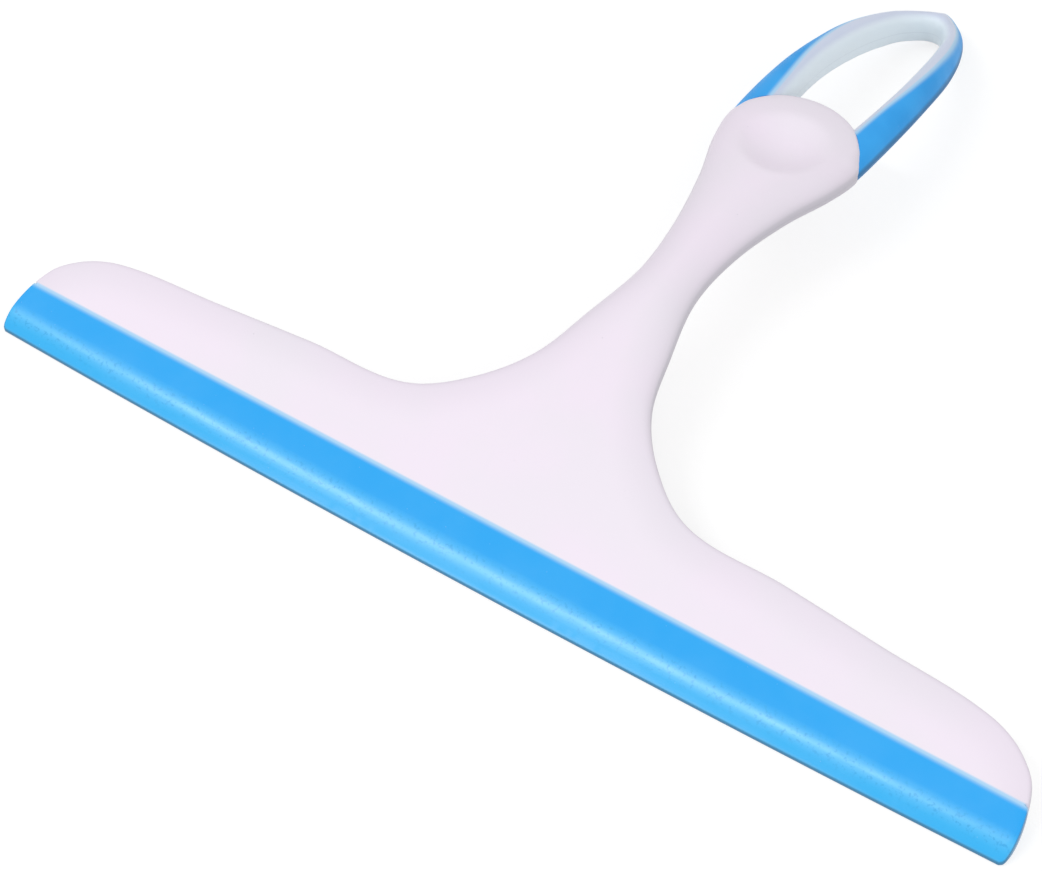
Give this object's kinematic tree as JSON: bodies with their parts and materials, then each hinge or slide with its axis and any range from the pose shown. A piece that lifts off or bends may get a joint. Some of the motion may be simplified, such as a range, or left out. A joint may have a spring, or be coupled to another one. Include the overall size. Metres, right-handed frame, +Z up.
{
  "type": "window cleaning squeegee",
  "caption": "Hand squeegee with a wide T head, a soft rubber blade on its front edge, an arched plastic handle with a thumb dimple, and a hanging loop with a soft outer grip.",
  "frame": {"origin": "centre of the bounding box in plan, at table height, with the squeegee lying on its lip and on the tip of its loop", "axes": "+X along the blade, +Y from the blade towards the hanging loop, +Z up away from the table, on the side of the thumb dimple"},
  "size_m": [0.24, 0.1942, 0.0261],
  "materials": {
    "white_plastic": "satin moulded polypropylene, faintly lilac white",
    "blade_rubber": "soft satin thermoplastic rubber, bright blue",
    "grip_rubber": "soft matt thermoplastic rubber, blue"
  },
  "bodies": {
    "squeegee": {"body": "white_plastic", "blade_base": "blade_rubber", "grip": "grip_rubber"},
    "lip": {"blade_lip": "blade_rubber"}
  },
  "joints": [
    {"name": "lip_flex", "type": "hinge", "parent": "squeegee", "child": "lip", "pos_m": [0, -0.09145, 0.00213], "axis": [1, 0, 0], "range_deg": [-22, 22], "stiffness_Nm_per_rad": 0.15}
  ]
}
